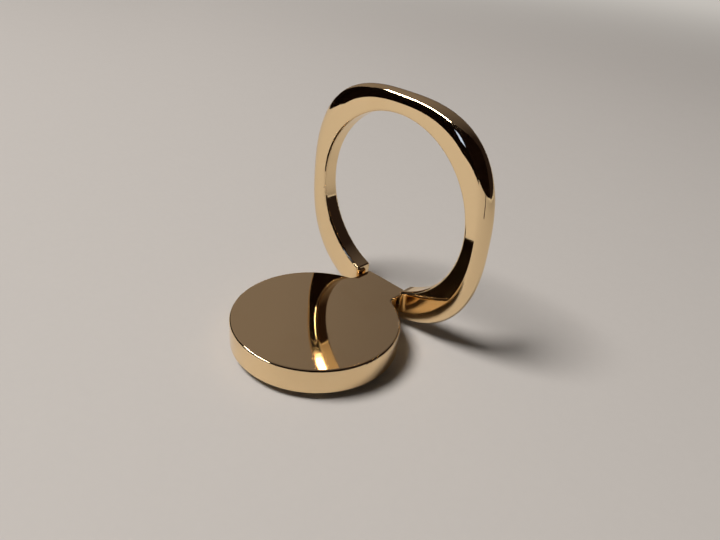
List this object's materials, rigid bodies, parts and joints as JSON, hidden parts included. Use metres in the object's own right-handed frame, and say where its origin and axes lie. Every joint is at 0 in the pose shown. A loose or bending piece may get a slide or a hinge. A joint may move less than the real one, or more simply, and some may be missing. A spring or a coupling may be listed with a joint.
{
  "type": "phone ring holder",
  "caption": "Round polished disc with a tab, stuck to a phone by a pad, and an upright cushion-shaped finger ring that turns and folds flat around the disc.",
  "frame": {"origin": "centre of the adhesive pad's underside, on the axis the disc turns about", "axes": "+Z away from the phone, +X along the hinge, +Y from the disc's centre towards the tab"},
  "size_m": [0.0384, 0.0322, 0.0402],
  "materials": {
    "gold_plate": "mirror polished, gold plated",
    "steel": "plain rolled",
    "foam_tape": "matt foam",
    "nylon": "matt"
  },
  "bodies": {
    "base": {"adhesive_pad": "foam_tape", "base_plate": "steel", "friction_ring": "nylon", "spring_washer": "steel"},
    "swivel": {"swivel_disc": "gold_plate", "swivel_rivet": "steel", "hinge_clip": "steel"},
    "ring": {"finger_ring": "gold_plate", "hinge_pin": "steel"}
  },
  "joints": [
    {"name": "disc_swivel", "type": "hinge", "parent": "base", "child": "swivel", "pos_m": [0, 0, 0], "axis": [0, 0, 1], "continuous": true},
    {"name": "ring_hinge", "type": "hinge", "parent": "swivel", "child": "ring", "pos_m": [0, 0.01661, 0.0036], "axis": [1, 0, 0], "range_deg": [-90, 90]}
  ]
}
